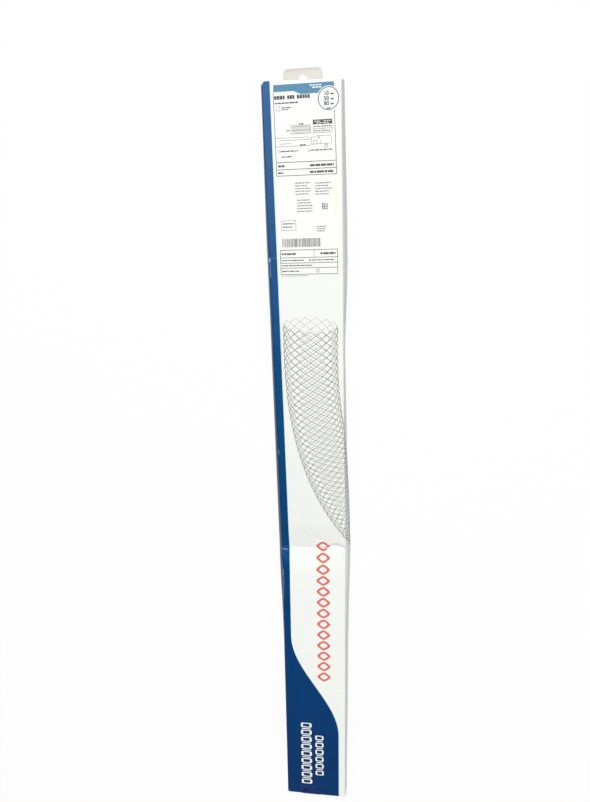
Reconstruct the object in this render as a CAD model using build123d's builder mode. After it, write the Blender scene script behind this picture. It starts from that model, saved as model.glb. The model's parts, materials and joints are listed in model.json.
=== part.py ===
from build123d import *
import math
import os

os.makedirs("parts", exist_ok=True)

# A long sealed paperboard carton, lying on its back. +Z is out of the printed front,
# +Y is towards the head end with the label and the hang tab. All sizes are in mm.

# The board
panel_width = 95.0
carton_depth = 38.0
fold_radius = 1.4
board = 0.5

# The front and back are drawn this much too thick, and then cut down to true planes
panel_spare = 0.05

# The run: two straight lengths of carton, measured on the front, that meet in a kink
head_length = 632.0
foot_length = 438.5
bend_angle = 7.4

# How far the side panels belly out at half their height
head_end_belly = 2.0
kink_belly = 7.5
foot_end_belly = 1.6
waist_left_belly = 5.5
waist_right_belly = 1.8
shoulder_belly = 5.0
hip_belly = 5.0
ankle_belly = 3.0

# Where those bellies are, from the nearest end of the carton
shoulder_from_head = 170.0
waist_from_head = 320.0
hip_from_foot = 335.0
ankle_from_foot = 160.0

# The hollow that the bend pressed into the whole front at the kink, fading out at both folds
hollow_depth = 3.0
hollow_radius = 115.0
hollow_width = 90.0

# The buckle that the bend raised in the front panel, just above the kink at the right fold
buckle_length = 62.0
buckle_radius = 7.0
buckle_depth = 4.2
buckle_inset = 14.0
buckle_from_kink = 5.5

# The glued closing flaps at both ends
flap_cover = 29.0
flap_inset = 1.6

# The corners: a torn one and an open slit at the head, and one crushed round at the foot
torn_corner = 3.6
torn_depth = 7.0
slit_length = 6.0
slit_width = 1.2
slit_depth = 5.0
crushed_radius = 5.0

# The glue seam, where the lap of the side panel ends on the back
seam_inset = 14.0
seam_width = 0.8
seam_depth = 0.4

# The hang tab, glued flush into the back of the head end
tab_width = 49.0
tab_reach = 20.0
tab_root = 24.0
tab_thickness = 0.7
tab_corner_radius = 7.0
tab_hole_radius = 4.8
tab_hole_reach = 7.4
tab_offset = 1.9

# The product label on the front
label_width = 78.4
label_length = 225.2
label_thickness = 0.2
label_head_gap = 1.4
label_offset = 4.0
label_corner_radius = 1.5

# The seal tape, folded over the foot end
tape_width = 31.0
tape_on_front = 14.6
tape_on_end = 21.0
tape_thickness = 0.2
tape_offset = 8.6

# The mitre plane at the kink leans by half the bend, so the back is longer than the front
bend = math.radians(bend_angle)
mitre_gain = carton_depth * math.tan(bend / 2)
head_back = head_length + mitre_gain
foot_back = foot_length + mitre_gain
run_reach = head_back + (foot_back - board) * math.cos(bend)

# The origin is under the middle of the whole piece, tab included
head_y = (run_reach - tab_reach) / 2
kink_point = Vector(0, head_y - head_back, 0)
foot_along = Vector(0, -math.cos(bend), math.sin(bend))
foot_up = Vector(0, math.sin(bend), math.cos(bend))
half_width = panel_width / 2


def head_section(from_head):
    """The plane across the carton, that far from the head end, with local Y up the depth."""
    return Plane(origin=(0, head_y - from_head, 0), x_dir=(1, 0, 0), z_dir=(0, -1, 0))


def foot_section(from_foot):
    """The plane across the raised length, that far from the foot end."""
    origin = kink_point + foot_along * (foot_back - from_foot)
    return Plane(origin=origin, x_dir=(1, 0, 0), z_dir=foot_along)


def cross_section(plane, left_belly, right_belly, stretch=1.0):
    """The folded sheet seen from its end: bellied side panels, and a small radius at each fold."""
    low = -panel_spare * stretch
    high = (carton_depth + panel_spare) * stretch
    fullest = carton_depth / 2 * stretch
    with BuildSketch(plane) as outline:
        with BuildLine():
            Line((-half_width, low), (half_width, low))
            ThreePointArc((half_width, low), (half_width + right_belly, fullest), (half_width, high))
            Line((half_width, high), (-half_width, high))
            ThreePointArc((-half_width, high), (-half_width - left_belly, fullest), (-half_width, low))
        make_face()
        fillet(outline.vertices(), fold_radius)
    return outline.sketch.face()


def closing_flap(plane):
    """The outer flap of an end, folded down from the front, with its free corners rounded."""
    with BuildSketch(plane) as outline:
        with Locations((0, carton_depth - fold_radius / 2)):
            Rectangle(panel_width - 2 * flap_inset, flap_cover, align=(Align.CENTER, Align.MAX))
        fillet(outline.vertices().group_by(Axis.Z)[0], 2 * fold_radius)
    return outline.sketch.face()


# Planes on the outside of the panels: local X is +X, and local Y is towards the head end
head_front = Plane(origin=(0, head_y, carton_depth), x_dir=(1, 0, 0), z_dir=(0, 0, 1))
foot_front = Plane(
    origin=kink_point + foot_along * foot_back + foot_up * carton_depth, x_dir=(1, 0, 0), z_dir=foot_up
)
foot_back_plane = Plane(origin=kink_point, x_dir=(1, 0, 0), z_dir=foot_up)

# The mitre plane halves the bend, and its sections are stretched up it by as much
kink_section = Plane(
    origin=kink_point, x_dir=(1, 0, 0), z_dir=(0, -math.cos(bend / 2), math.sin(bend / 2))
)
kink_stretch = 1 / math.cos(bend / 2)

kink_outline = cross_section(kink_section, kink_belly, kink_belly, kink_stretch)

with BuildPart() as head_run:
    # The length that lies flat, from the head end to the kink
    loft(
        [
            cross_section(head_section(board), head_end_belly, head_end_belly),
            cross_section(head_section(shoulder_from_head), shoulder_belly, shoulder_belly),
            cross_section(head_section(waist_from_head), waist_left_belly, waist_right_belly),
            kink_outline,
        ]
    )
    split(bisect_by=Plane.XY, keep=Keep.TOP)
    split(bisect_by=head_front, keep=Keep.BOTTOM)

with BuildPart() as foot_run:
    # The length that the kink raises
    loft(
        [
            kink_outline,
            cross_section(foot_section(hip_from_foot), hip_belly, hip_belly),
            cross_section(foot_section(ankle_from_foot), ankle_belly, ankle_belly),
            cross_section(foot_section(board), foot_end_belly, foot_end_belly),
        ]
    )
    split(bisect_by=foot_back_plane, keep=Keep.TOP)
    split(bisect_by=foot_front, keep=Keep.BOTTOM)

with BuildPart() as hollow:
    # A wide spindle lying across the front, thinner towards both folds
    end_radius = hollow_radius - 1.2 * hollow_depth
    with BuildSketch(Plane.XZ):
        with BuildLine():
            Polyline(
                (hollow_width / 2, end_radius),
                (hollow_width / 2, 0),
                (-hollow_width / 2, 0),
                (-hollow_width / 2, end_radius),
            )
            ThreePointArc(
                (-hollow_width / 2, end_radius), (0, hollow_radius), (hollow_width / 2, end_radius)
            )
        make_face()
    revolve(axis=Axis.X)

hollow_place = kink_section.from_local_coords(
    Vector(0, carton_depth * kink_stretch + hollow_radius - hollow_depth, 0)
)

with BuildPart() as buckle:
    # A spindle lying across the front: where it dips below the panel it leaves a lens
    with BuildSketch(Plane.XZ):
        with BuildLine():
            Line((-buckle_length / 2, 0), (buckle_length / 2, 0))
            ThreePointArc((buckle_length / 2, 0), (0, buckle_radius), (-buckle_length / 2, 0))
        make_face()
    revolve(axis=Axis.X)

buckle_place = head_section(head_length - buckle_from_kink).from_local_coords(
    Vector(half_width - buckle_inset, carton_depth + buckle_radius - buckle_depth, 0)
)

with BuildPart() as carton:
    add(head_run.part)
    add(foot_run.part)

    # The front at the kink, pressed hollow and buckled
    with Locations(hollow_place):
        add(hollow.part, mode=Mode.SUBTRACT)
    with Locations(buckle_place):
        add(buckle.part, mode=Mode.SUBTRACT)

    # The outer closing flaps, a board's thickness proud of the inner ones
    extrude(closing_flap(head_section(board)), amount=-board)
    extrude(closing_flap(foot_section(board)), amount=board)

    # The torn corner and the open slit at the head end
    with BuildSketch(head_front):
        with BuildLine():
            Polyline(
                (-half_width - torn_corner, torn_corner),
                (-half_width - torn_corner, -2 * torn_corner),
                (-half_width + torn_corner, 0),
                (-half_width + torn_corner, torn_corner),
                close=True,
            )
        make_face()
    extrude(amount=-torn_depth, mode=Mode.SUBTRACT)
    with BuildSketch(head_front):
        with Locations((half_width, 0)):
            Rectangle(2 * slit_length, 2 * slit_width)
    extrude(amount=-slit_depth, mode=Mode.SUBTRACT)

    # The foot corner that was crushed round
    with BuildSketch(foot_front):
        with Locations((-half_width - foot_end_belly, 0)):
            Rectangle(2 * crushed_radius, 2 * crushed_radius)
        with Locations((-half_width - foot_end_belly + crushed_radius, crushed_radius)):
            Circle(crushed_radius, mode=Mode.SUBTRACT)
    extrude(amount=-2 * carton_depth, mode=Mode.SUBTRACT)

    # The edge of the glue lap, along both lengths of the back
    with BuildSketch(Plane.XY):
        with Locations((seam_inset - half_width, head_y)):
            Rectangle(seam_width, head_back, align=(Align.CENTER, Align.MAX))
    extrude(amount=seam_depth, mode=Mode.SUBTRACT)
    with BuildSketch(foot_back_plane):
        with Locations((seam_inset - half_width, 0)):
            Rectangle(seam_width, foot_back, align=(Align.CENTER, Align.MAX))
    extrude(amount=seam_depth, mode=Mode.SUBTRACT)

    # The seat of the hang tab
    with BuildSketch(Plane.XY):
        with Locations((-tab_offset, head_y)):
            Rectangle(tab_width, tab_root, align=(Align.CENTER, Align.MAX))
    extrude(amount=tab_thickness, mode=Mode.SUBTRACT)
carton.part.label = "carton"
export_step(carton.part, "parts/carton.step")

with BuildPart() as hang_tab:
    # A strip of board with round shoulders, glued under the carton, and its peg hole
    with BuildSketch() as tab_outline:
        with Locations((-tab_offset, head_y - tab_root)):
            Rectangle(tab_width, tab_root + tab_reach, align=(Align.CENTER, Align.MIN))
        fillet(tab_outline.vertices().group_by(Axis.Y)[-1], tab_corner_radius)
        with Locations((-tab_offset, head_y + tab_hole_reach)):
            Circle(tab_hole_radius, mode=Mode.SUBTRACT)
    extrude(amount=tab_thickness)
hang_tab.part.label = "hang_tab"
export_step(hang_tab.part, "parts/hang_tab.step")

with BuildPart() as product_label:
    # A sheet of sticker with small round corners, flat on the front
    with BuildSketch(head_front) as label_outline:
        with Locations((label_offset, -label_head_gap)):
            Rectangle(label_width, label_length, align=(Align.CENTER, Align.MAX))
        fillet(label_outline.vertices(), label_corner_radius)
    extrude(amount=label_thickness)
product_label.part.label = "product_label"
export_step(product_label.part, "parts/product_label.step")

with BuildPart() as seal_tape:
    # An angle of tape: one leg on the front, one down the closing flap
    tape_corner = foot_front.from_local_coords(Vector(-tape_offset - tape_width / 2, 0, 0))
    with BuildSketch(Plane(origin=tape_corner, x_dir=foot_along * -1, z_dir=(1, 0, 0))):
        with BuildLine():
            Polyline(
                (0, 0),
                (0, -tape_on_end),
                (-tape_thickness, -tape_on_end),
                (-tape_thickness, tape_thickness),
                (tape_on_front, tape_thickness),
                (tape_on_front, 0),
                close=True,
            )
        make_face()
    extrude(amount=tape_width)
seal_tape.part.label = "seal_tape"
export_step(seal_tape.part, "parts/seal_tape.step")
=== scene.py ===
import json
import math

import bpy
import numpy as np
from mathutils import Matrix

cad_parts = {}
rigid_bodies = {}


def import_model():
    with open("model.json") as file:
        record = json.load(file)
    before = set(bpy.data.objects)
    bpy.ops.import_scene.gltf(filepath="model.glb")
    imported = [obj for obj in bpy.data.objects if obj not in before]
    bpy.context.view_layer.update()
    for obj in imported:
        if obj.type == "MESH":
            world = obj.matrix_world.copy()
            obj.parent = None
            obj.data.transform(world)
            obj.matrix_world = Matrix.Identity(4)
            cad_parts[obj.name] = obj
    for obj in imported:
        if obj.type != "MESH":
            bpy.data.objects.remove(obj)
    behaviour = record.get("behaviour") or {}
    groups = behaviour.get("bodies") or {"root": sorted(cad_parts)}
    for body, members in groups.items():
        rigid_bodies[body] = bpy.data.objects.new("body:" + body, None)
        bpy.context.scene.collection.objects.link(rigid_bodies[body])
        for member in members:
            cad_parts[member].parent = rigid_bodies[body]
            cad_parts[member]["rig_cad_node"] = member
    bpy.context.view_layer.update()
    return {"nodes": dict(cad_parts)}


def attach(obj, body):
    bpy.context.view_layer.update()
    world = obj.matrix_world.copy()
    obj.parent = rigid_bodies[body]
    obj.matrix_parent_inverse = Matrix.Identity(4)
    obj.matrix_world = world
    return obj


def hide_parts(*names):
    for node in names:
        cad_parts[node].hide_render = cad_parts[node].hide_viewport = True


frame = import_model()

MM = 0.001

# The carton's sizes, in millimetres, as the part has them. Every surface below is worked out in
# millimetres, as (w, s): w goes round the folded sheet from the middle of the front, to the right
# as the print is read, and s goes down the front from the head end.
half_width = 47.5
depth = 38.0
fold = 1.4
board = 0.5
head_length = 632.0
foot_length = 438.5
front_length = head_length + foot_length
bend = math.radians(7.4)
tab_reach = 20.0
tape_front = 14.6
flap_length = 29.0
torn_corner = 3.6
crushed_radius = 5.0
mitre_lean = math.tan(bend / 2)
head_back = head_length + depth * mitre_lean
foot_back = foot_length + depth * mitre_lean
head_y = (head_back + (foot_back - board) * math.cos(bend) - tab_reach) / 2
kink_point = np.array([0.0, head_y - head_back, 0.0])
foot_along = np.array([0.0, -math.cos(bend), math.sin(bend)])
foot_up = np.array([0.0, math.sin(bend), math.cos(bend)])
label_thickness = 0.2

# Where the front, a fold, a side, a fold and half the back end, going round the sheet
front_end = half_width - fold
side_start = front_end + fold * math.pi / 2
side_end = side_start + depth - 2 * fold
back_start = side_end + fold * math.pi / 2
back_middle = back_start + front_end
lap_edge = back_middle - 33.5


# The folded sheet

def smooth_run(stations, values):
    """Straight lines between the stations, rounded by a sliding weighted mean 60 mm long."""
    reach = 60
    fine = np.arange(-reach, front_length + reach + 1)
    window = np.hanning(reach + 1)
    rounded = np.convolve(np.interp(fine, stations, values), window / window.sum(), mode="same")
    return fine, rounded


left_belly = smooth_run(
    [0, 74, 170, 297, 365, 438, 515, 590, 649, 704, 735, 790, 910, 1070],
    [2.0, 3.6, 5.1, 5.4, 5.9, 6.3, 6.8, 7.3, 7.5, 6.2, 5.0, 3.8, 3.0, 1.5],
)
right_belly = smooth_run(
    [0, 78, 153, 213, 255, 298, 328, 388, 486, 538, 578, 644, 725, 809, 925, 1070],
    [2.4, 3.7, 4.9, 5.2, 3.9, 2.1, 1.0, 1.9, 3.0, 5.2, 6.5, 7.5, 5.2, 4.0, 3.2, 1.6],
)


def belly(w, s):
    """How far the side panel bows out at half its height: one run for each side."""
    return np.where(w < 0, np.interp(s, *left_belly), np.interp(s, *right_belly))


def outline(w):
    """A rounded rectangle followed by its own length: front, fold, side, fold, back, both ways round.

    Gives x, z and the outward direction across the carton."""
    a = np.abs(w)
    turn_front = np.clip((a - front_end) / fold, 0, math.pi / 2)
    turn_back = np.clip((a - side_end) / fold, 0, math.pi / 2)
    turn = turn_front + turn_back
    x = np.minimum(a, front_end) + fold * np.sin(turn_front) - fold * (1 - np.cos(turn_back))
    x = x - np.clip(a - back_start, 0, None)
    z = depth - fold * (1 - np.cos(turn_front)) - np.clip(a - side_start, 0, side_end - side_start)
    z = z - fold * np.sin(turn_back)
    side = np.where(w < 0, -1.0, 1.0)
    return side * x, z, side * np.sin(turn), np.cos(turn)


def hump(distance, width):
    """A round hump one high, that falls off as the bell curve of distance over width."""
    return np.exp(-((distance / width) ** 2))


def front_relief(x, s):
    """How far the front stands out of its plane: a soft V across the kink, a buckle that sinks
    towards its line and ends there, creases that are bell curves across their lines, and faint
    waves that are sines."""
    kink, hollow_reach, softness = 631.6, 36.0, 3.2
    from_edge = (hollow_reach - np.abs(s - kink)) / softness
    hollow = np.log1p(np.exp(from_edge)) * softness / hollow_reach
    hollow = hollow * np.clip(1.04 - (x / 49.0) ** 4, 0.1, 1)

    buckle_line, buckle_middle, buckle_half, buckle_reach = 630.4, 34.0, 16.5, 9.0
    shape = np.clip(1 - ((x - buckle_middle) / buckle_half) ** 2, 0, None)
    down = s - buckle_line
    sink = np.clip((down + buckle_reach * shape) / (buckle_reach * shape + 0.01), 0, 1)
    buckle = np.where(down < 0, sink, hump(down, 1.3)) * np.sqrt(shape)

    swell = hump(x - 4, 34) * hump(s - 662, 20)
    s_line = 597 + 11 * (1 + np.tanh((x - 0.5) / 5.0))
    s_crease = hump(s - s_line, 1.8) * hump(x - 1.0, 9.5)
    kink_crease = hump(s - 631.4, 0.8) * np.clip((-26 - x) / 8, 0, 1)
    head_crease = hump(s - 202.0, 0.8) * np.clip((-35.5 - x) / 4, 0, 1)
    middle_crease = hump(s - 516.7, 0.9) * np.clip((-33 - x) / 5, 0, 1)
    foot_crease = hump(s - 871 + 0.1 * (x - 44), 1.0) * np.clip((x - 38) / 4, 0, 1)

    wave = np.sin(s / 41 + 0.8) * np.cos(x / 23 - s / 160) + 0.7 * np.sin(s / 17.3 + x / 31)
    wave = wave * np.clip((s - 232) / 40, 0, 1) * np.clip((1072 - s) / 30, 0, 1)
    wave = wave * np.clip((46 - np.abs(x)) / 12, 0, 1)

    relief = -3.6 * hollow - 3.4 * buckle + 0.5 * swell - 1.1 * s_crease
    relief = relief - 0.35 * kink_crease + 0.3 * head_crease + 0.3 * middle_crease
    return relief - 0.8 * foot_crease + 0.13 * wave


def along_carton(x, s, z):
    """From across, down the front, and up from the back, to the row frame in millimetres.

    The head length lies flat and the foot length rises at the bend, and each row leans a little
    more towards the kink, so that both lengths meet on the mitre plane."""
    share = s / head_length
    y_head = head_y - share * (head_length + mitre_lean * (depth - z))
    start = z * mitre_lean
    reach = start + (s - head_length) / foot_length * (foot_back - start)
    y_foot = kink_point[1] + reach * foot_along[1] + z * foot_up[1]
    z_foot = reach * foot_along[2] + z * foot_up[2]
    foot = s > head_length
    y_now = np.where(foot, y_foot, y_head)
    z_now = np.where(foot, z_foot, z + 0 * s)
    return np.stack([x + 0 * s, y_now, z_now], -1)


def board_point(w, s, lift=0.0):
    """The outside of the folded sheet: the outline, bowed at the sides by a parabola up the panel,
    with the front's relief, moved out by lift and carried down the carton."""
    w, s = np.broadcast_arrays(np.asarray(w, float), np.asarray(s, float))
    x, z, out_x, out_z = outline(w)
    up = z / depth
    bow = belly(w, s) * 4 * up * (1 - up)
    x_bowed = x + np.where(w < 0, -bow, bow)
    front = np.clip((front_end + 1.2 - np.abs(w)) / 1.2, 0, 1)
    z_now = z + front_relief(x, s) * front
    return along_carton(x_bowed + lift * out_x, s, z_now + lift * out_z)


def label_point(x, s, lift=0.0):
    """The top of the product label, which lies flat on the head length."""
    x, s = np.broadcast_arrays(np.asarray(x, float), np.asarray(s, float))
    return along_carton(x, s, depth + label_thickness + lift + 0 * x)


# Meshes from arrays

def new_piece(name, points, faces, sheet_place=None, smooth_angle=None):
    """A mesh object from points in millimetres and faces as rows of vertex numbers.

    sheet_place gives each point's own place on the unfolded sheet, kept as a UV map in metres."""
    points = np.asarray(points, float).reshape(-1, 3) * MM
    mesh = bpy.data.meshes.new(name)
    mesh.from_pydata(points.tolist(), [], [list(face) for face in faces])
    if sheet_place is not None:
        layer = mesh.uv_layers.new(name="sheet")
        corner = np.zeros(len(mesh.loops), np.int32)
        mesh.loops.foreach_get("vertex_index", corner)
        place = np.asarray(sheet_place, float).reshape(-1, 2)[corner] * MM
        layer.data.foreach_set("uv", place.astype(np.float32).ravel())
    if smooth_angle is not None:
        mesh.polygons.foreach_set("use_smooth", np.ones(len(mesh.polygons), bool))
        mesh.set_sharp_from_angle(angle=math.radians(smooth_angle))
    mesh.validate()
    mesh.update()
    piece = bpy.data.objects.new(name, mesh)
    bpy.context.scene.collection.objects.link(piece)
    return piece


def grid_faces(rows, columns, closed=False, start=0):
    """Four-cornered faces between neighbouring points of a grid numbered row by row."""
    row = np.arange(rows - 1)[:, None]
    column = np.arange(columns if closed else columns - 1)[None, :]
    beside = (column + 1) % columns
    corners = np.broadcast_arrays(
        row * columns + column,
        row * columns + beside,
        (row + 1) * columns + beside,
        (row + 1) * columns + column,
    )
    return start + np.stack(corners, -1).reshape(-1, 4)


def head_cut(x, z):
    """How far the head end is gone: a corner torn off at 45 degrees, and an open slit. The fold
    stands out by up to 1.3 mm towards its left end, less further down the flap."""
    torn = np.clip(-(half_width - torn_corner) - x, 0, 6) * np.clip((z - (depth - 7.0)) / 0.6, 0, 1)
    slit = 1.2 * np.clip((x - 41.2) / 0.4, 0, 1) * np.clip((z - (depth - 5.2)) / 0.5, 0, 1)
    bulge = 1.3 * np.clip((14 - x) / 50, 0, 1) * np.clip((z - depth + 16) / 14, 0, 1)
    return torn + slit - bulge


def foot_cut(x):
    """How far the foot end is gone: one corner crushed to a quarter round."""
    round_start = -(half_width + 1.6) + crushed_radius
    inward = np.clip(round_start - x, 0, crushed_radius - 0.02)
    return crushed_radius - np.sqrt(crushed_radius**2 - inward**2)


def build_shell():
    """One closed skin: rings round the outline, from the middle of the head end, out to its edge,
    down the whole carton, and in to the middle of the foot end."""
    right = np.concatenate([
        np.linspace(0, front_end, 26),
        np.linspace(front_end, side_start, 6),
        np.linspace(side_start, side_end, 18),
        np.linspace(side_end, back_start, 5),
        [lap_edge - 0.4, lap_edge + 0.4],
        np.linspace(lap_edge + 3.5, back_middle, 8),
    ])
    w = np.unique(np.round(np.concatenate([-right, right]), 5))[1:]

    # closer rings at both ends, at the creases and at the kink
    foot_edge = front_length - board
    steps = [
        np.arange(board, foot_edge, 3.0),
        np.arange(board, 8, 0.5),
        np.arange(198, 206, 0.5),
        np.arange(512, 521, 0.5),
        np.arange(590, 645, 1.0),
        np.arange(621, 636, 0.5),
        np.arange(866, 876, 0.5),
        foot_edge - np.arange(0, 8, 0.5),
        [head_length],
    ]
    s = np.unique(np.round(np.concatenate(steps), 3))
    s = s[np.concatenate([[True], np.diff(s) > 0.2])]
    ring_w, ring_s = np.meshgrid(w, s)
    x, z, _, _ = outline(ring_w)
    fade = 12
    near_head = np.clip(1 - (ring_s - board) / fade, 0, 1)
    near_foot = np.clip(1 - (foot_edge - ring_s) / fade, 0, 1)
    bowed = x + np.where(ring_w < 0, -1, 1) * belly(ring_w, ring_s) * 4 * z / depth * (1 - z / depth)
    shifted = ring_s + head_cut(bowed, z) * near_head - foot_cut(bowed) * near_foot
    skin = board_point(ring_w, shifted)

    inward = np.array([0.985, 0.94, 0.86, 0.7, 0.45, 0.2])
    middle_z = depth / 2

    def cap(row, scale):
        """An end panel: its own edge, drawn in to its middle by the scale."""
        cap_x = bowed[row] * scale[:, None]
        cap_z = middle_z + (z[row] - middle_z) * scale[:, None]
        return cap_x, cap_z

    head_x, head_z = cap(0, inward[::-1])
    head_cap = np.stack([head_x, head_y - board - head_cut(head_x, head_z), head_z], -1)
    foot_x, foot_z = cap(-1, inward)
    foot_cap = along_carton(foot_x, foot_edge - foot_cut(foot_x), foot_z)
    rings = np.concatenate([head_cap, skin, foot_cap])
    columns, rows = len(w), len(rings)
    head_pole = np.array([[0.0, head_y - board, middle_z]])
    foot_pole = along_carton(np.zeros(1), np.full(1, foot_edge), np.full(1, middle_z))
    points = np.concatenate([rings.reshape(-1, 3), head_pole, foot_pole])

    # both end panels take their place on the sheet from its blank back
    blank = np.array([60.0, 0.0])
    far_blank = blank + [0.0, front_length]
    plain = np.broadcast_to(blank, (len(inward), columns, 2))
    far_plain = np.broadcast_to(far_blank, (len(inward), columns, 2))
    place = np.concatenate([plain, np.stack([ring_w, shifted], -1), far_plain]).reshape(-1, 2)
    place = np.concatenate([place, [blank, far_blank]])

    walls = grid_faces(rows, columns, closed=True)
    column = np.arange(columns)
    beside = (column + 1) % columns
    head_fan = np.stack([np.full(columns, rows * columns), beside, column], -1)
    last = (rows - 1) * columns
    foot_fan = np.stack([np.full(columns, rows * columns + 1), last + column, last + beside], -1)
    faces = walls[:, ::-1].tolist() + head_fan.tolist() + foot_fan.tolist()
    return new_piece("carton_shell", points, faces, place, smooth_angle=38)


def build_flap(name, foot):
    """A closing flap: a profile that rolls over from the front, runs down the end and turns in at
    its free edge, carried across the carton, with the free corners rounded by a quarter circle."""
    reach = half_width - 1.6
    round_corner, stand_off = 2.8, board + 0.05
    near_side = reach - np.array([0, 0.4, 1, 1.8, round_corner])
    at_cuts = [41.0, 41.4, 41.8, -43.9, -43.0]
    across = np.concatenate([np.linspace(-reach, reach, 40), near_side, -near_side, at_cuts])
    across = np.unique(np.round(across, 3))
    roll = np.linspace(0, math.pi / 2, 6)[:, None]
    down = np.linspace(0.02, 1.0, 22)[:, None]
    top = depth - fold / 2
    corner = np.clip(round_corner - (reach - np.abs(across)), 0, round_corner)
    length = flap_length - round_corner + np.sqrt(round_corner**2 - corner**2)

    # rolled over, down the end, and turned in at the free edge
    flat = 0 * across
    out = np.concatenate([1.3 * (1 - np.sin(roll)) + flat, 0 * down + flat, [stand_off + flat]])
    z_roll = top + (depth - top + 0.03) * np.cos(roll)
    z = np.concatenate([z_roll + flat, top - down * length, [top - length]])
    x = np.broadcast_to(across, out.shape)

    # both side edges are turned in as well
    x = np.concatenate([x[:, :1], x, x[:, -1:]], 1)
    z = np.concatenate([z[:, :1], z, z[:, -1:]], 1)
    first, last = np.maximum(stand_off, out[:, :1]), np.maximum(stand_off, out[:, -1:])
    out = np.concatenate([first, out, last], 1)
    print_s = top - z
    if foot:
        out = out + foot_cut(x)
        points = kink_point + foot_along * (foot_back - out)[..., None] + foot_up * z[..., None]
        points = points + np.stack([x, 0 * x, 0 * x], -1)
        place = np.stack([x, front_length + print_s], -1)
    else:
        out = out + head_cut(x, z)
        points = np.stack([x, head_y - out, z], -1)
        place = np.stack([x, -print_s], -1)
    faces = grid_faces(*x.shape)
    if not foot:
        faces = faces[:, ::-1]
    return new_piece(name, points, faces.tolist(), place, smooth_angle=38)


# Print as thin ink

def patches(rectangles, place, lift, step=400.0):
    """Each rectangle (x0, s0, x1, s1) as its own small grid, no cell longer than step."""
    points, faces, start = [], [], 0
    for x0, s0, x1, s1 in rectangles:
        columns = int(np.ceil(abs(x1 - x0) / step)) + 1
        rows = int(np.ceil(abs(s1 - s0) / step)) + 1
        x, s = np.meshgrid(np.linspace(x0, x1, columns), np.linspace(s0, s1, rows))
        points.append(place(x, s, lift).reshape(-1, 3))
        faces.append(grid_faces(rows, columns, start=start)[:, ::-1])
        start = start + rows * columns
    return np.concatenate(points), np.concatenate(faces).tolist()


def ribbons(paths, width, place, lift, step=3.0):
    """Each path as a ribbon: its points, made closer than step, moved half the width to both sides
    along the normal of the path on the sheet."""
    points, faces, start = [], [], 0
    for path in paths:
        path = np.asarray(path, float)
        span = np.hypot(*np.diff(path, axis=0).T)
        so_far = np.concatenate([[0], np.cumsum(span)])
        even = np.linspace(0, so_far[-1], int(np.ceil(so_far[-1] / step)) + 1)
        stations = np.unique(np.round(np.concatenate([so_far, even]), 4))
        x = np.interp(stations, so_far, path[:, 0])
        s = np.interp(stations, so_far, path[:, 1])
        go_x, go_s = np.gradient(x), np.gradient(s)
        size = np.maximum(np.hypot(go_x, go_s), 1e-9)
        side_x, side_s = -go_s / size * width / 2, go_x / size * width / 2
        both_x = np.stack([x - side_x, x + side_x], -1)
        both_s = np.stack([s - side_s, s + side_s], -1)
        points.append(place(both_x, both_s, lift).reshape(-1, 3))
        faces.append(grid_faces(len(x), 2, start=start)[:, ::-1])
        start = start + len(x) * 2
    return np.concatenate(points), np.concatenate(faces).tolist()


def rings_of_ink(shapes, place, lift, hollow=0.0):
    """Each shape is a closed loop about its own centre, filled by scaling the loop inwards to
    hollow, which is a share of its size and 0 for a solid shape."""
    points, faces, start = [], [], 0
    scale = np.linspace(1.0, max(hollow, 0.02), 6)[:, None]
    for centre_x, centre_s, loop_x, loop_s in shapes:
        x = centre_x + scale * loop_x[None, :]
        s = centre_s + scale * loop_s[None, :]
        points.append(place(x, s, lift).reshape(-1, 3))
        faces.append(grid_faces(len(scale), len(loop_x), closed=True, start=start))
        start = start + x.size
    return np.concatenate(points), np.concatenate(faces).tolist()


def joined(*parts):
    """Several lots of points and faces as one."""
    points, faces, start = [], [], 0
    for part_points, part_faces in parts:
        points.append(part_points)
        faces = faces + [[start + corner for corner in face] for face in part_faces]
        start = start + len(part_points)
    return np.concatenate(points), faces


def facing_out(name, part):
    """Makes the piece, and turns the faces that look into the sheet the other way. Outwards is up,
    and away from the carton's middle plane on the side panels."""
    points, faces = part
    corners = [points[[face[i] for face in faces]] for i in range(3)]
    normal = np.cross(corners[1] - corners[0], corners[2] - corners[0])
    inward = normal[:, 2] + np.sign(corners[0][:, 0]) * normal[:, 0] < 0
    faces = [face[::-1] if flip else face for face, flip in zip(faces, inward)]
    return new_piece(name, points, faces)


chance = np.random.default_rng(7)


def words(x0, x1, s, height, longest=6.0):
    """A line of plain bars, as long as words are, with word gaps between them."""
    bars = []
    x = x0
    while x < x1 - 0.8:
        length = min(chance.uniform(1.6, longest), x1 - x)
        bars.append((x, s - height / 2, x + length, s + height / 2))
        x = x + length + 0.75
    return bars


def lines_across(*rows):
    """Straight paths across, each from x to x at its way down."""
    return [[(x0, s), (x1, s)] for x0, x1, s in rows]


def lines_down(*rows):
    """Straight paths down, each at its x, from s to s."""
    return [[(x, s0), (x, s1)] for x, s0, s1 in rows]


def frame_lines(x0, s0, x1, s1):
    """The four sides of a rectangle, as paths."""
    return [[(x0, s0), (x1, s0)], [(x1, s0), (x1, s1)], [(x1, s1), (x0, s1)], [(x0, s1), (x0, s0)]]


def circle(radius, corners=48):
    """A loop of points on a circle."""
    angle = np.linspace(0, 2 * math.pi, corners, endpoint=False)
    return radius * np.cos(angle), radius * np.sin(angle)


# Colours and shader helpers

def srgb(red, green, blue):
    """A colour as a picture gives it, from 0 to 255, changed to the linear values of a shader."""
    value = np.array([red, green, blue]) / 255
    linear = np.where(value <= 0.04045, value / 12.92, ((value + 0.055) / 1.055) ** 2.4)
    return (*[float(v) for v in linear], 1.0)


def wire(tree, target, value):
    """Joins a socket to another node's, or sets it to a number or colour."""
    if isinstance(value, bpy.types.NodeSocket):
        tree.links.new(value, target)
    else:
        target.default_value = value


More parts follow.
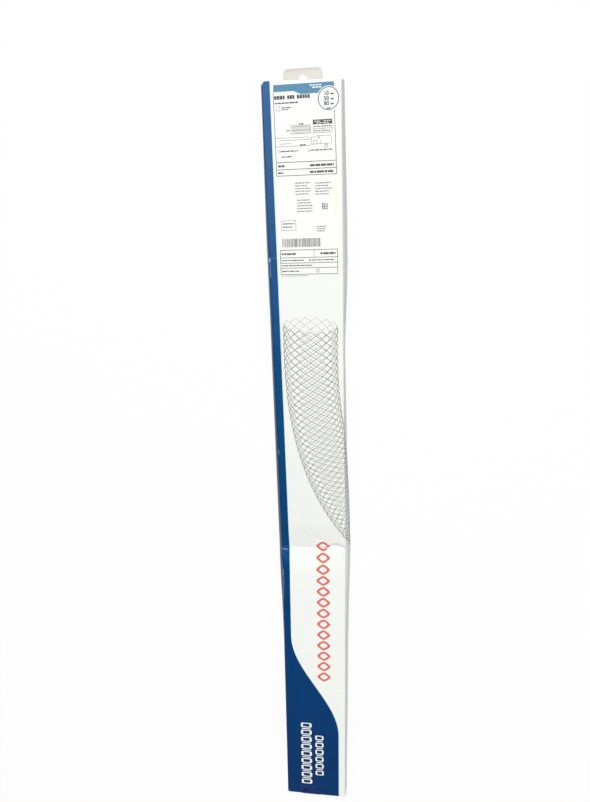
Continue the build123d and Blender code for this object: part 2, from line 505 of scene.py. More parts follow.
def calc(tree, operation, *values, clamp=False):
    """One sum of the shader tree, such as ADD or LESS_THAN."""
    node = tree.nodes.new("ShaderNodeMath")
    node.operation = operation
    node.use_clamp = clamp
    for socket, value in zip(node.inputs, values):
        wire(tree, socket, value)
    return node.outputs[0]


def mix(tree, factor, first, second):
    """From the first colour to the second, by the factor."""
    node = tree.nodes.new("ShaderNodeMix")
    node.data_type = "RGBA"
    wire(tree, node.inputs["Factor"], factor)
    wire(tree, node.inputs[6], first)
    wire(tree, node.inputs[7], second)
    return node.outputs[2]


def ramp(tree, value, stops):
    """A colour ramp through the given stops."""
    node = tree.nodes.new("ShaderNodeValToRGB")
    elements = node.color_ramp.elements
    while len(elements) < len(stops):
        elements.new(0.5)
    for element, (position, colour) in zip(elements, stops):
        element.position = position
        element.color = colour
    wire(tree, node.inputs[0], value)
    return node.outputs[0]


def noise(tree, vector, scale, detail=3.0, roughness=0.55):
    """Cloudy noise, about 0.5 on average."""
    node = tree.nodes.new("ShaderNodeTexNoise")
    wire(tree, node.inputs["Vector"], vector)
    node.inputs["Scale"].default_value = scale
    node.inputs["Detail"].default_value = detail
    node.inputs["Roughness"].default_value = roughness
    return node.outputs[0]


def band(tree, value, middle, half, soft):
    """1 where the value is within half of the middle, falling to 0 over soft."""
    away = calc(tree, "ABSOLUTE", calc(tree, "SUBTRACT", value, middle))
    return calc(tree, "DIVIDE", calc(tree, "SUBTRACT", half + soft, away), soft, clamp=True)


def over(tree, value, low, high):
    """0 below low, 1 above high, straight between."""
    return calc(tree, "DIVIDE", calc(tree, "SUBTRACT", value, low), high - low, clamp=True)


def new_group(name, inputs, outputs):
    """A shader group with named number, vector or colour sockets."""
    group = bpy.data.node_groups.new(name, "ShaderNodeTree")
    for socket, kind, value in inputs:
        made = group.interface.new_socket(name=socket, in_out="INPUT", socket_type=kind)
        if value is not None:
            made.default_value = value
    for socket, kind in outputs:
        group.interface.new_socket(name=socket, in_out="OUTPUT", socket_type=kind)
    return group, group.nodes.new("NodeGroupInput"), group.nodes.new("NodeGroupOutput")


def place_group(tree, group, **values):
    """The group as a node of a material, with its own values."""
    node = tree.nodes.new("ShaderNodeGroup")
    node.node_tree = group
    for socket, value in values.items():
        wire(tree, node.inputs[socket.replace("_", " ")], value)
    return node


def build_paper_mottle():
    """Board and paper seen close: cloudy tone in two sizes, and a fibre grain for the bump."""
    group, given, out = new_group(
        "paper_mottle",
        [("Vector", "NodeSocketVector", None), ("Amount", "NodeSocketFloat", 0.03)],
        [("Tone", "NodeSocketFloat"), ("Grain", "NodeSocketFloat")],
    )
    clouds = noise(group, given.outputs["Vector"], 26.0, 3.0)
    flecks = noise(group, given.outputs["Vector"], 420.0, 2.0)
    clouds = calc(group, "MULTIPLY", clouds, 0.65)
    both = calc(group, "ADD", clouds, calc(group, "MULTIPLY", flecks, 0.35))
    centred = calc(group, "SUBTRACT", both, 0.5)
    wire(group, out.inputs["Tone"], calc(group, "MULTIPLY", centred, given.outputs["Amount"]))
    grain = noise(group, given.outputs["Vector"], 1500.0, 3.0, 0.6)
    wire(group, out.inputs["Grain"], calc(group, "ADD", calc(group, "MULTIPLY", flecks, 0.6), grain))
    return group


def build_rubbed_line():
    """Print rubbed away along a line: full on the line, gone at the width, broken up by noise."""
    group, given, out = new_group(
        "rubbed_line",
        [
            ("Vector", "NodeSocketVector", None),
            ("Distance", "NodeSocketFloat", 1.0),
            ("Width", "NodeSocketFloat", 0.001),
            ("Amount", "NodeSocketFloat", 0.5),
        ],
        [("Mask", "NodeSocketFloat")],
    )
    near = calc(group, "DIVIDE", given.outputs["Distance"], given.outputs["Width"])
    near = calc(group, "SUBTRACT", 1.0, near, clamp=True)
    small_spots = calc(group, "MULTIPLY", noise(group, given.outputs["Vector"], 240.0, 5.0, 0.65), 0.55)
    long_spots = calc(group, "MULTIPLY", noise(group, given.outputs["Vector"], 45.0, 3.0), 0.45)
    spots = calc(group, "ADD", small_spots, long_spots)
    level = calc(group, "ADD", calc(group, "MULTIPLY", near, given.outputs["Amount"]), spots)
    mask = calc(group, "MULTIPLY", calc(group, "SUBTRACT", level, 0.82), 9.0, clamp=True)
    wire(group, out.inputs["Mask"], calc(group, "MULTIPLY", mask, over(group, near, 0.0, 0.15)))
    return group


paper_mottle = build_paper_mottle()
rubbed_line = build_rubbed_line()


def new_material(name):
    """A material with its principled shader."""
    material = bpy.data.materials.new(name)
    material.use_nodes = True
    tree = material.node_tree
    shader = tree.nodes["Principled BSDF"]
    return material, tree, shader


def object_place(tree):
    """The point on the object, in the row frame."""
    return tree.nodes.new("ShaderNodeTexCoord").outputs["Object"]


def split(tree, vector):
    """The three numbers of a vector."""
    node = tree.nodes.new("ShaderNodeSeparateXYZ")
    wire(tree, node.inputs[0], vector)
    return node.outputs


def bump(tree, shader, height, distance, strength=1.0):
    """Turns a height into the shader's normal."""
    node = tree.nodes.new("ShaderNodeBump")
    node.inputs["Strength"].default_value = strength
    node.inputs["Distance"].default_value = distance
    wire(tree, node.inputs["Height"], height)
    wire(tree, shader.inputs["Normal"], node.outputs["Normal"])


def tinted(tree, colour, tone):
    """A colour made lighter or darker by the tone, which is about 0."""
    node = tree.nodes.new("ShaderNodeHueSaturation")
    wire(tree, node.inputs["Color"], colour)
    wire(tree, node.inputs["Value"], calc(tree, "ADD", 1.0, tone))
    return node.outputs[0]


def coated_board():
    """White coated board with the blue field, and the print lost along folds and creases."""
    material, tree, shader = new_material("printed_board")
    sheet = tree.nodes.new("ShaderNodeUVMap")
    sheet.uv_map = "sheet"
    u, v, _ = split(tree, sheet.outputs[0])
    here = object_place(tree)
    mottle = place_group(tree, paper_mottle, Vector=here, Amount=0.05)

    # the edge of the blue: a straight stripe, then half a cosine wave out to the far strip
    down = over(tree, v, 0.780, 0.956)
    turn = calc(tree, "COSINE", calc(tree, "MULTIPLY", down, math.pi))
    edge = calc(tree, "SUBTRACT", -0.0001, calc(tree, "MULTIPLY", turn, 0.0372))
    to_edge = calc(tree, "SUBTRACT", edge, u)
    blue = calc(tree, "GREATER_THAN", to_edge, 0.0)
    blue = calc(tree, "MULTIPLY", blue, calc(tree, "GREATER_THAN", u, -lap_edge * MM))

    # the blue: lighter towards the head as painted sheen, patchy, darker at its edge and on the folds
    # painted sheen: the ramp makes the blue lighter towards the head and darker towards the foot
    blue_ink_and_sheen = ramp(tree, calc(tree, "DIVIDE", v, front_length * MM), [
        (0.00, srgb(57, 101, 152)),
        (0.13, srgb(43, 90, 138)),
        (0.24, srgb(32, 83, 137)),
        (0.34, srgb(9, 73, 123)),
        (0.50, srgb(2, 67, 119)),
        (0.75, srgb(0, 58, 113)),
        (1.00, srgb(0, 50, 100)),
    ])
    patchy = calc(tree, "SUBTRACT", noise(tree, here, 9.0, 2.0), 0.5)
    streaky = calc(tree, "SUBTRACT", noise(tree, here, 55.0, 2.0), 0.5)
    fold_middle = (front_end + side_start) / 2 * MM
    from_fold = calc(tree, "ABSOLUTE", calc(tree, "SUBTRACT", calc(tree, "ABSOLUTE", u), fold_middle))
    tone = calc(tree, "MULTIPLY", patchy, 0.30)
    for mask, amount in (
        (streaky, 0.22),
        (band(tree, to_edge, 0.0, 0.0007, 0.0008), -0.15),
        (band(tree, from_fold, 0.0, 0.0008, 0.0010), -0.25),
        # painted highlight: the blue is lighter just below the kink
        (band(tree, v, 0.643, 0.006, 0.016), 0.40),
    ):
        tone = calc(tree, "ADD", tone, calc(tree, "MULTIPLY", mask, amount))
    blue_ink_and_sheen = tinted(tree, blue_ink_and_sheen, tone)
    white = tinted(tree, srgb(246, 248, 243), mottle.outputs["Tone"])
    white = mix(tree, band(tree, to_edge, -0.0005, 0.0003, 0.0005), white, srgb(206, 236, 250))

    # where the print is rubbed: specks along both front folds, more of them by the kink
    folds = place_group(tree, rubbed_line, Vector=here, Distance=from_fold, Width=0.0010, Amount=0.10)
    more = place_group(tree, rubbed_line, Vector=here, Distance=from_fold, Width=0.0014, Amount=0.17)
    scuffed = band(tree, v, 0.640, 0.012, 0.012)
    wear = calc(tree, "MAXIMUM", folds.outputs[0], calc(tree, "MULTIPLY", more.outputs[0], scuffed))

    # lines cracked across the stripe: middle, lean, width, amount, and from where to where
    cracks = (
        (0.2018, 0.00, 0.0008, 0.34, -0.0462, -0.0370),
        (0.5136, 0.10, 0.0022, 0.20, -0.0510, -0.0375),
        (0.5220, 0.10, 0.0020, 0.17, -0.0480, -0.0375),
        (0.6305, 0.00, 0.0008, 0.42, -0.0450, -0.0376),
        (0.6360, 0.17, 0.0010, 0.66, -0.0530, -0.0398),
    )
    for middle, lean, width, amount, start, stop in cracks:
        slanted = calc(tree, "MULTIPLY", calc(tree, "ADD", u, 0.040), lean)
        away = calc(tree, "SUBTRACT", calc(tree, "SUBTRACT", v, slanted), middle)
        away = calc(tree, "ABSOLUTE", away)
        line = place_group(tree, rubbed_line, Vector=here, Distance=away, Width=width, Amount=amount)
        reach = band(tree, u, (start + stop) / 2, (stop - start) / 2, 0.0008)
        wear = calc(tree, "MAXIMUM", wear, calc(tree, "MULTIPLY", line.outputs[0], reach))

    # one flake by the first crack: an ellipse with a ragged edge
    flake_u = calc(tree, "DIVIDE", calc(tree, "ADD", u, 0.0470), 0.0014)
    flake_v = calc(tree, "DIVIDE", calc(tree, "SUBTRACT", v, 0.2044), 0.0034)
    flake_u = calc(tree, "MULTIPLY", flake_u, flake_u)
    flake = calc(tree, "ADD", flake_u, calc(tree, "MULTIPLY", flake_v, flake_v))
    flake = calc(tree, "LESS_THAN", calc(tree, "ADD", flake, noise(tree, here, 500.0)), 1.25)
    wear = calc(tree, "MAXIMUM", wear, flake)

    printed = mix(tree, blue, white, blue_ink_and_sheen)
    bare = mix(tree, blue, srgb(212, 212, 206), srgb(168, 198, 224))
    colour = mix(tree, calc(tree, "MULTIPLY", wear, 0.85), printed, bare)
    wire(tree, shader.inputs["Base Color"], colour)
    rough = calc(tree, "ADD", 0.27, calc(tree, "MULTIPLY", wear, 0.35))
    rough = calc(tree, "ADD", rough, calc(tree, "MULTIPLY", patchy, 0.10))
    wire(tree, shader.inputs["Roughness"], rough)
    shader.inputs["Specular IOR Level"].default_value = 0.08
    height = calc(tree, "SUBTRACT", calc(tree, "MULTIPLY", mottle.outputs["Grain"], 0.35), wear)
    bump(tree, shader, height, 0.00003, 0.6)
    return material


def plain_paper(name, colour, rough, amount=0.03, grain=0.00002):
    """Paper or board of one colour with its mottle and fibre grain."""
    material, tree, shader = new_material(name)
    mottle = place_group(tree, paper_mottle, Vector=object_place(tree), Amount=amount)
    wire(tree, shader.inputs["Base Color"], tinted(tree, colour, mottle.outputs["Tone"]))
    shader.inputs["Roughness"].default_value = rough
    shader.inputs["Specular IOR Level"].default_value = 0.18
    bump(tree, shader, mottle.outputs["Grain"], grain, 0.6)
    return material


def ink(name, colour, rough=0.45, thin=0.25, paper=(0.92, 0.93, 0.92, 1.0)):
    """Printing ink: its colour, a little thinner in fine flecks where the paper comes through."""
    material, tree, shader = new_material(name)
    here = object_place(tree)
    flecks = over(tree, noise(tree, here, 900.0, 3.0), 0.56, 0.70)
    clouds = noise(tree, here, 60.0, 2.0)
    amount = calc(tree, "ADD", flecks, calc(tree, "MULTIPLY", clouds, 0.3))
    amount = calc(tree, "MULTIPLY", amount, thin)
    wire(tree, shader.inputs["Base Color"], mix(tree, amount, colour, paper))
    cloudy = calc(tree, "MULTIPLY", clouds, 0.1)
    wire(tree, shader.inputs["Roughness"], calc(tree, "ADD", rough, cloudy))
    shader.inputs["Specular IOR Level"].default_value = 0.35
    return material


def tab_board():
    """Uncoated grey-beige board, paler round the peg hole, with painted shade darkening it towards its
    top edge.
    """
    material, tree, shader = new_material("grey_board")
    here = object_place(tree)
    x, y, _ = split(tree, here)
    mottle = place_group(tree, paper_mottle, Vector=here, Amount=0.10)
    dx = calc(tree, "ADD", x, 0.0019)
    dy = calc(tree, "SUBTRACT", y, (head_y + 7.4) * MM)
    dx = calc(tree, "MULTIPLY", dx, dx)
    away = calc(tree, "SQRT", calc(tree, "ADD", dx, calc(tree, "MULTIPLY", dy, dy)))
    rim = band(tree, away, 0.0048, 0.0006, 0.0006)
    # painted shade: the tab grows darker towards its top edge
    shade = over(tree, y, (head_y + 15.5) * MM, (head_y + 19.0) * MM)
    colour = mix(tree, shade, srgb(222, 218, 209), srgb(204, 202, 196))
    colour = mix(tree, rim, colour, srgb(236, 235, 231))
    wire(tree, shader.inputs["Base Color"], tinted(tree, colour, mottle.outputs["Tone"]))
    shader.inputs["Roughness"].default_value = 0.72
    shader.inputs["Specular IOR Level"].default_value = 0.2
    bump(tree, shader, mottle.outputs["Grain"], 0.00004, 0.7)
    return material


def clear_film():
    """Clear glossy tape: mostly see-through, a little tinted, denser at its cut edges."""
    material, tree, shader = new_material("clear_tape")
    here = object_place(tree)
    x, y, _ = split(tree, here)
    tape_top = (kink_point + foot_along * (foot_back - tape_front) + foot_up * depth)[1] * MM
    from_middle = calc(tree, "ABSOLUTE", calc(tree, "ADD", x, 0.0086))
    side_edge = over(tree, from_middle, 0.0150, 0.0153)
    top_edge = over(tree, y, tape_top - 0.0006, tape_top - 0.0003)
    rim = calc(tree, "MAXIMUM", side_edge, top_edge)
    haze = over(tree, noise(tree, here, 160.0, 3.0), 0.5, 0.75)
    wire(tree, shader.inputs["Base Color"], mix(tree, rim, srgb(22, 34, 118), srgb(64, 96, 154)))
    opacity = calc(tree, "ADD", 0.26, calc(tree, "MULTIPLY", rim, 0.24))
    opacity = calc(tree, "ADD", opacity, calc(tree, "MULTIPLY", haze, 0.10), clamp=True)
    wire(tree, shader.inputs["Alpha"], opacity)
    rough = calc(tree, "ADD", 0.20, calc(tree, "MULTIPLY", haze, 0.15))
    wire(tree, shader.inputs["Roughness"], rough)
    shader.inputs["Specular IOR Level"].default_value = 0.3
    return material


def give(piece, material):
    """Puts the material on a piece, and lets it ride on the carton's body."""
    piece.data.materials.clear()
    piece.data.materials.append(material)
    if "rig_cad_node" not in piece:
        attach(piece, "root")
    return piece


# The carton, its flaps and stuck-on parts

board_finish = coated_board()
shell = give(build_shell(), board_finish)
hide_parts("carton")
give(build_flap("head_flap", False), board_finish)
give(build_flap("foot_flap", True), board_finish)

give(frame["nodes"]["hang_tab"], tab_board())
label_finish = plain_paper("label_paper", srgb(249, 250, 245), 0.42, 0.02)
give(frame["nodes"]["product_label"], label_finish)
give(frame["nodes"]["seal_tape"], clear_film())


# What is printed on the label

low_ink, top_ink = 0.03, 0.05
black_ink = ink("black_ink", srgb(38, 38, 42))
grey_ink = ink("grey_ink", srgb(128, 128, 130))
steel_ink = ink("steel_blue_ink", srgb(72, 132, 166), thin=0.10)
white_ink = ink("white_ink", srgb(246, 247, 247), thin=0.05)
yellow_ink = ink("pale_yellow_ink", srgb(246, 243, 214), thin=0.3)


def build_header():
    """The band across the head of the label, with a slanted step down from it."""
    band_part = patches([(-33.1, 3.5, 38.7, 11.0)], label_point, low_ink)
    step_x = np.array([-9.0, -1.0, 20.0, 27.0])
    step_s = np.array([11.0, 14.6, 14.6, 11.0])
    step = label_point(step_x, step_s, low_ink)
    return joined(band_part, (step, [[3, 2, 1, 0]]))


def blocks(groups, x0, s0, s1, letter, gap):
    """Heavy blocks in groups, as wide as bold letters are, with a wider gap between the groups."""
    bars = []
    x = x0
    for count in groups:
        for _ in range(count):
            wide = letter * chance.uniform(0.8, 1.15)
            bars.append((x, s0, x + wide, s1))
            x = x + wide + gap
        x = x + letter * 0.9
    return bars


# lines of bars: from x, to x, how far down, the bars' height and their greatest length
black_words = (
    (-31.6, -4.1, 23.2, 1.5, 6.0),
    (-24.0, -13.0, 28.2, 1.1, 6.0),
    (-24.0, -16.0, 30.2, 1.1, 6.0),
    (14.4, 23.5, 50.2, 1.2, 3.0),
    (25.6, 35.0, 50.2, 1.2, 3.0),
    (14.4, 23.5, 55.0, 1.2, 3.0),
    (25.6, 35.0, 55.0, 1.2, 3.0),
    (-3.5, 3.0, 46.6, 1.5, 3.0),
    (-19.0, -15.0, 53.2, 1.5, 2.0),
    (-3.0, 4.0, 69.6, 1.4, 3.5),
    (-26.5, -5.7, 76.0, 1.3, 6.0),
    (10.0, 36.7, 76.0, 1.3, 6.0),
    (-26.0, -13.3, 82.2, 1.3, 6.0),
    (-31.0, -23.0, 92.6, 2.3, 8.0),
    (8.4, 37.7, 92.9, 2.4, 9.0),
    (-31.0, -25.0, 100.4, 2.0, 6.0),
    (8.2, 37.6, 100.4, 2.4, 9.0),
    (-28.3, -13.0, 160.2, 1.3, 4.0),
    (-28.3, -16.0, 164.2, 1.3, 4.0),
    (-31.0, -12.0, 197.3, 2.2, 7.0),
    (19.0, 38.5, 197.3, 2.4, 8.0),
    (-31.0, -2.0, 205.4, 1.3, 6.0),
    (4.0, 36.0, 205.4, 1.3, 6.0),
    (-31.0, 8.0, 211.9, 1.3, 6.0),
    (-31.0, -9.0, 219.0, 1.4, 6.0),
)
black_bars = blocks((4, 3, 5), -32.3, 15.2, 19.2, 2.75, 0.45)
for line in black_words:
    black_bars += words(*line)
black_bars += [(13.3, 43.0, 35.9, 47.9)]

# the bar code: bars and gaps of a few widths, fitted to its length
code_bars, code_start, code_length = 54, -29.7, 49.7
code_x = np.cumsum(chance.choice([0.28, 0.42, 0.42, 0.7, 0.98], 2 * code_bars + 2))
code_x = code_start + code_x * code_length / code_x[-1]
black_bars += [(code_x[2 * i], 178.4, code_x[2 * i + 1], 188.9) for i in range(code_bars)]

# the square code: random cells with two full sides
cells_across, code_side, code_left, code_top = 13, 7.3, 22.3, 136.8
cells = chance.random((cells_across, cells_across)) < 0.5
cells[:, 0] = True
cells[-1, :] = True
cell = code_side / cells_across
for i, j in zip(*np.nonzero(cells)):
    left, top = code_left + j * cell, code_top + i * cell
    black_bars.append((left, top, left + cell, top + cell))

fine_lines = lines_across(
    (13.3, 35.9, 52.6),
    (-33.0, 8.0, 61.2),
    (-28.0, 10.5, 63.8),
    (-33.0, 10.0, 70.6),
    (-29.0, -14.0, 67.6),
    (10.5, 32.0, 69.4),
    (-12.1, 10.6, 48.0),
    (-14.6, -12.6, 48.2),
    (-12.1, 10.6, 49.3),
    (-12.1, 10.6, 57.0),
    (-12.1, 10.6, 53.2),
)
fine_lines += lines_down(
    (24.6, 47.9, 57.2),
    (11.0, 192.5, 202.0),
    (10.5, 61.0, 69.4),
    (22.0, 64.8, 69.4),
    (-13.6, 48.2, 58.4),
)
fine_lines += frame_lines(13.3, 43.0, 35.9, 57.2) + frame_lines(-30.6, 26.7, -26.0, 31.3)
fine_lines += frame_lines(-30.0, 156.5, -11.3, 168.0) + frame_lines(13.5, 65.4, 17.5, 69.4)
fine_lines += [
    [(10.5, 62.4), (17.0, 60.4), (34.0, 60.4)],
    [(34.0, 60.4), (35.6, 66.0), (34.6, 69.4)],
]
saw_x = np.linspace(-12.1, 10.6, 15)
saw_teeth = np.cos(np.arange(15) * math.pi)
for row in (51.2, 55.1):
    for way in (-1.7, 1.7):
        fine_lines.append(np.stack([saw_x, row + way * saw_teeth], -1))

heavy_lines = lines_across(
    (-33.3, 41.2, 103.7),
    (-33.0, 40.4, 88.4),
    (-33.0, 40.7, 96.6),
    (-32.5, 41.0, 202.0),
    (-32.5, 41.0, 208.7),
    (-32.5, 41.0, 215.0),
)
heavy_lines += [[(-33.3, 11.0), (-33.0, 103.7)], [(39.0, 33.4), (40.9, 103.7)]]
heavy_lines += frame_lines(-32.5, 192.5, 41.0, 223.0)

# rings: middle across and down, radius, corners, and the hole's share of the radius
ring_x, ring_s = 32.1, 20.8
label_rings = (
    (28.5, 71.8, 2.0, 24, 0.7),
    (19.8, 62.6, 1.5, 24, 0.7),
    (-28.6, 76.0, 1.6, 24, 0.75),
    (8.0, 76.0, 1.6, 24, 0.75),
    (15.5, 218.8, 2.2, 24, 0.75),
    (ring_x, ring_s, 12.5, 72, 0.925),
)
black_print = joined(
    patches(black_bars, label_point, top_ink),
    ribbons(fine_lines, 0.42, label_point, top_ink, 40.0),
    ribbons(heavy_lines, 0.72, label_point, top_ink, 40.0),
    *[
        rings_of_ink([(x, s, *circle(radius, corners))], label_point, top_ink, hole)
        for x, s, radius, corners, hole in label_rings
    ],
)
give(facing_out("label_black_print", black_print), black_ink)

# paragraphs in grey: from x, to x, and each line's way down
grey_paragraphs = (
    (-10.7, 8.8, (112.6, 115.8, 119.0, 122.2, 125.4)),
    (14.1, 34.8, (113.4, 116.6, 119.8, 123.0, 126.2)),
    (-8.8, 12.1, (132.6, 135.9, 139.2, 142.5, 145.8)),
    (15.4, 29.2, (164.6, 167.4, 170.0)),
)
grey_bars = []
for x0, x1, lines in grey_paragraphs:
    for s in lines:
        grey_bars += words(x0, x1 - chance.uniform(0, 5), s, 1.25, 5.0)
grey_bars += words(-31.0, 2.0, 224.9, 0.9, 4.0)
give(facing_out("label_grey_print", patches(grey_bars, label_point, top_ink)), grey_ink)

give(facing_out("label_header_band", build_header()), steel_ink)
white_words = (
    (10.0, 24.0, 6.0, 1.3, 4.0),
    (13.0, 24.0, 8.4, 1.3, 4.0),
    (15.0, 22.0, 44.6, 0.9, 3.0),
    (26.0, 34.0, 44.6, 0.9, 3.0),
    (17.0, 32.0, 46.5, 0.8, 3.0),
)
white_bars = []
for line in white_words:
    white_bars += words(*line)
white_print = joined(
    patches(white_bars, label_point, top_ink + 0.02),
    rings_of_ink([(ring_x, ring_s, *circle(13.4, 72))], label_point, low_ink + 0.01),
)
give(facing_out("label_white_print", white_print), white_ink)
tint_strip = patches([(37.6, 110.7, 40.7, 151.5)], label_point, low_ink)
give(facing_out("label_tint_strip", tint_strip), yellow_ink)


def numbers_in_ring():
    """Plain numbers, each typed as text, made a mesh, and laid on the label at its place."""
    points, faces, start = [], [], 0
    for text, s in (("10", 15.6), ("50", 20.9), ("80", 26.2)):
        curve = bpy.data.curves.new("number", "FONT")
        curve.body = text
        curve.align_x = "CENTER"
        curve.align_y = "CENTER"
        curve.size = 6.0
        curve.offset = 0.18
        typed = bpy.data.objects.new("number", curve)
        bpy.context.scene.collection.objects.link(typed)
        bpy.context.view_layer.update()
        worked_out = bpy.context.evaluated_depsgraph_get()
        flat = bpy.data.meshes.new_from_object(typed.evaluated_get(worked_out))
        place = np.zeros(len(flat.vertices) * 3)
        flat.vertices.foreach_get("co", place)
        place = place.reshape(-1, 3)
        points.append(label_point(29.6 + place[:, 0], s - place[:, 1], top_ink))
        faces = faces + [[start + v for v in polygon.vertices] for polygon in flat.polygons]
        start = start + len(place)
        bpy.data.objects.remove(typed)
        bpy.data.meshes.remove(flat)
    return np.concatenate(points), faces


ring_bars = [(34.4, s, 38.4, s + 1.5) for s in (15.4, 20.8, 26.0)]
ring_bars += [(29.8, 30.6, 34.4, 31.8)]
ring_print = joined(numbers_in_ring(), patches(ring_bars, label_point, top_ink))
give(facing_out("label_ring_numbers", ring_print), black_ink)


# What is printed on the board

def tube_axis(t):
    """The middle line of the drawn tube, t from 0 to 1 down it: a little to the left at first, then
    off to the right by the square and the fourth power of t, and its own direction."""
    x = 4.2 - 17.0 * t + 67.0 * t**2 + 47.0 * t**4
    s = 289.0 + 336.0 * t - 6.5 * t**3
    go_x = -17.0 + 134.0 * t + 188.0 * t**3
    go_s = 336.0 - 19.5 * t**2
    size = np.hypot(go_x, go_s)
    return x, s, go_x / size, go_s / size


def drawn_tube(front):
    """A tube of crossing wires, seen from the side: half of them wind one way and half the other,
    a little closer further down. A wire's place across is the sine of its angle, and it goes back
    along the tube as the cosine; the front wires are the ones with a cosine above zero."""
    wires, radius, sag = 15, 36.4, 10.0
    t = np.linspace(0, 1, 420)
    x, s, go_x, go_s = tube_axis(t)
    start = np.arange(wires)[:, None] / wires
    kept = []
    for way in (-1, 1):
        angle = 2 * math.pi * (start + way * (2.05 * t + 0.4 * t**2))
        across, along = radius * np.sin(angle), sag * np.cos(angle)
        spot = np.stack([x + across * go_s + along * go_x, s - across * go_x + along * go_s], -1)
        drawn = (np.cos(angle) > 0) == front
        drawn = drawn & (spot[..., 0] < side_end - 8.0) & (spot[..., 0] > -36.2)
        for wire_spots, wire_drawn in zip(spot, drawn):
            ends = np.diff(np.concatenate([[0], wire_drawn.astype(int), [0]]))
            for first, last in np.flatnonzero(ends).reshape(-1, 2):
                if last - first > 2:
                    kept.append(wire_spots[first:last])
    return kept


wire_ink = ink("wire_ink", srgb(34, 26, 32), thin=0.30)
pale_wire_ink = ink("pale_wire_ink", srgb(128, 120, 124), thin=0.40)
front_wires = ribbons(drawn_tube(True), 0.56, board_point, 0.06)
give(facing_out("tube_front_wires", front_wires), wire_ink)
back_wires = ribbons(drawn_tube(False), 0.36, board_point, 0.045)
give(facing_out("tube_back_wires", back_wires), pale_wire_ink)


def pulled_circle(long, wide, power, corners=40):
    """A loop from a circle whose sine and cosine are each taken to the power: above 1 it is a
    lozenge with blunt points, and well below 1 a block with rounded corners."""
    angle = np.linspace(0, 2 * math.pi, corners, endpoint=False)
    x = np.sign(np.cos(angle)) * np.abs(np.cos(angle)) ** power * wide / 2
    s = np.sign(np.sin(angle)) * np.abs(np.sin(angle)) ** power * long / 2
    return x, s


on_board = 0.06
orange_ink = ink("orange_ink", srgb(226, 98, 82), thin=0.15)
lozenge = pulled_circle(16.6, 21.4, 1.5)
lozenges = [(14.2, 629.0 + 18.4 * i, *lozenge) for i in range(13)]
lozenge_row = rings_of_ink(lozenges, board_point, on_board, hollow=0.56)
give(facing_out("orange_lozenges", lozenge_row), orange_ink)

hollow_blocks, slim_blocks = [], []
pitch = 13.3
for row_x, wide, start, count in ((5.8, 13.5, 958.0, 6), (-15.4, 17.5, 936.0, 9)):
    block, slim = pulled_circle(8.4, wide, 0.35), pulled_circle(1.7, wide - 3.0, 0.35)
    hollow_blocks += [(row_x, start + pitch * i + 4.2, *block) for i in range(count)]
    slim_blocks += [(row_x, start + pitch * i + 10.85, *slim) for i in range(count - 1)]
foot_blocks = joined(
    rings_of_ink(hollow_blocks, board_point, on_board, hollow=0.62),
    rings_of_ink(slim_blocks, board_point, on_board),
)
give(facing_out("white_blocks", foot_blocks), white_ink)


def build_scratches_and_glint():
    """Fine scratches by the left fold, where the print is gone down to the white coating, and a painted
    glint at the crushed foot corner.
    """
    paths = [
        [(-48.6, 657.0), (-47.9, 664.0), (-47.6, 671.0), (-47.9, 679.0)],
        [(-47.2, 668.0), (-46.8, 682.0), (-46.8, 697.0), (-47.3, 709.0), (-48.0, 718.0)],
        [(-46.4, 207.5), (-46.8, 214.0), (-46.2, 226.0)],
        [(-46.6, 470.0), (-46.3, 478.0)],
        # a painted glint at the crushed foot corner, drawn as a short scratch
        [(-44.2, 1068.4), (-46.0, 1067.6), (-47.4, 1066.0)],
    ]
    return ribbons(paths, 0.36, board_point, 0.05, 1.5)


bare_coating_and_glint = ink("bare_coating_and_glint", srgb(172, 196, 220), thin=0.6, paper=srgb(30, 80, 130))
give(facing_out("fold_scratches_and_glint", build_scratches_and_glint()), bare_coating_and_glint)


# Floor, light and camera

def seen_directly(tree):
    """1 for what the camera, a gloss or a clear piece sees, and 0 for what only lights."""
    rays = tree.nodes.new("ShaderNodeLightPath").outputs
    seen = calc(tree, "ADD", rays["Is Camera Ray"], rays["Is Glossy Ray"], clamp=True)
    return calc(tree, "ADD", seen, rays["Is Transmission Ray"], clamp=True)


def build_floor():
    """A wide pale floor. To the camera it is nearly all plain white, and keeps a soft shadow."""
    size, below, plain_share = 6000.0, -0.3, 0.94
    corners = [[-size, -size, below], [size, -size, below], [size, size, below], [-size, size, below]]
    floor = new_piece("floor", corners, [[0, 1, 2, 3]])
    material, tree, shader = new_material("pale_floor")
    shader.inputs["Roughness"].default_value = 0.9
    shader.inputs["Specular IOR Level"].default_value = 0.1
    seen = seen_directly(tree)
    wire(tree, shader.inputs["Base Color"], mix(tree, seen, srgb(165, 165, 165), srgb(250, 250, 250)))
    plain = tree.nodes.new("ShaderNodeEmission")
    plain.inputs["Color"].default_value = (1.0, 1.0, 1.0, 1.0)
    plain.inputs["Strength"].default_value = 1.0
    both = tree.nodes.new("ShaderNodeMixShader")
    wire(tree, both.inputs[0], calc(tree, "MULTIPLY", seen, plain_share))
    wire(tree, both.inputs[1], shader.outputs[0])
    wire(tree, both.inputs[2], plain.outputs[0])
    wire(tree, tree.nodes["Material Output"].inputs["Surface"], both.outputs[0])
    floor.data.materials.append(material)


build_floor()

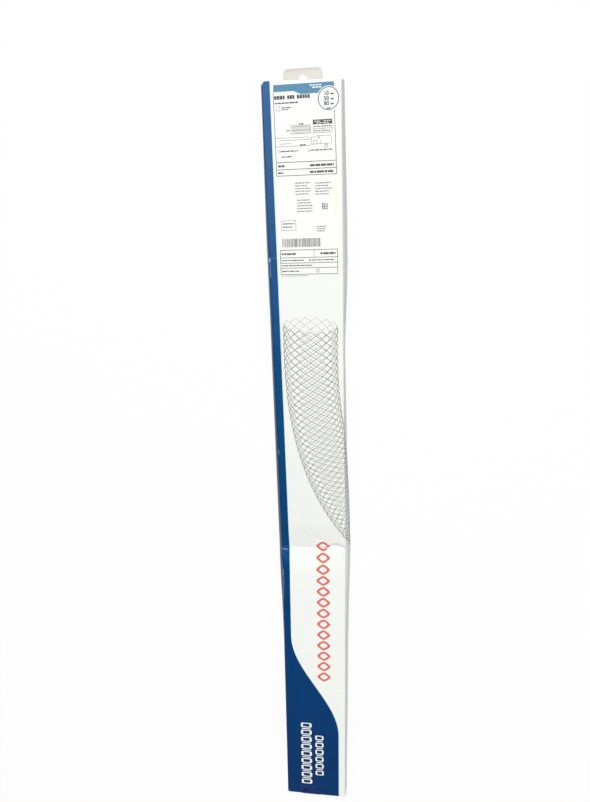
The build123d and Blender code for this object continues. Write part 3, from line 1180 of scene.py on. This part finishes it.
world = bpy.data.worlds.new("studio")
bpy.context.scene.world = world
world.use_nodes = True
sky = world.node_tree
background = sky.nodes["Background"]
background.inputs["Color"].default_value = (1.0, 1.0, 1.0, 1.0)
sky_light, sky_white = 0.12, 0.95
sky_strength = calc(sky, "MULTIPLY", seen_directly(sky), sky_white - sky_light)
wire(sky, background.inputs["Strength"], calc(sky, "ADD", sky_light, sky_strength))


def stand(thing, across, upward, back, place):
    """Stands a lamp or the camera at its place, by its three axes."""
    axes = np.eye(4)
    axes[:3] = np.stack([across, upward, back, place], -1)
    thing.matrix_world = Matrix(axes.tolist())
    bpy.context.scene.collection.objects.link(thing)


def soft_lamp(name, place, target, size, power):
    """A large lamp with four corners at a place, looking at its target."""
    light = bpy.data.lights.new(name, "AREA")
    light.shape = "RECTANGLE"
    light.size, light.size_y = size
    light.energy = power
    away = np.array(place) - np.array(target)
    back = away / np.linalg.norm(away)
    across = np.cross([0.0, 1.0, 0.02], back)
    across = across / np.linalg.norm(across)
    stand(bpy.data.objects.new(name, light), across, np.cross(back, across), back, place)


soft_lamp("key_softbox", (-0.35, 0.95, 2.1), (0.0, 0.0, 0.0), (1.6, 1.2), 16.5)
soft_lamp("raking_softbox", (0.1, 3.6, 2.5), (0.0, 0.0, 0.0), (2.0, 1.6), 107.0)
soft_lamp("foot_softbox", (0.85, -0.45, 2.0), (0.0, -0.2, 0.0), (0.9, 1.2), 15.0)
soft_lamp("far_softbox", (-1.9, -0.6, 1.6), (0.0, 0.0, 0.0), (1.4, 2.0), 3.5)

# the camera as fitted to the carton's edges: its axes, its eye, and its focal length in pixels
focal_pixels, frame_height, film = 574.4, 802, 36.0
right = np.array([0.99096, -0.03394, -0.12978])
down = np.array([0.00908, -0.94828, 0.31732])
forward = np.array([-0.13383, -0.31563, -0.9394])
eye = np.array([86.6, head_y - 143.7, depth + 751.1]) * MM
camera_data = bpy.data.cameras.new("camera")
camera_data.sensor_width = film
camera_data.lens = focal_pixels * film / frame_height
camera_data.clip_start = 0.01
camera = bpy.data.objects.new("camera", camera_data)
stand(camera, right, -down, -forward, eye)
bpy.context.scene.camera = camera
bpy.context.scene.view_settings.view_transform = "Standard"
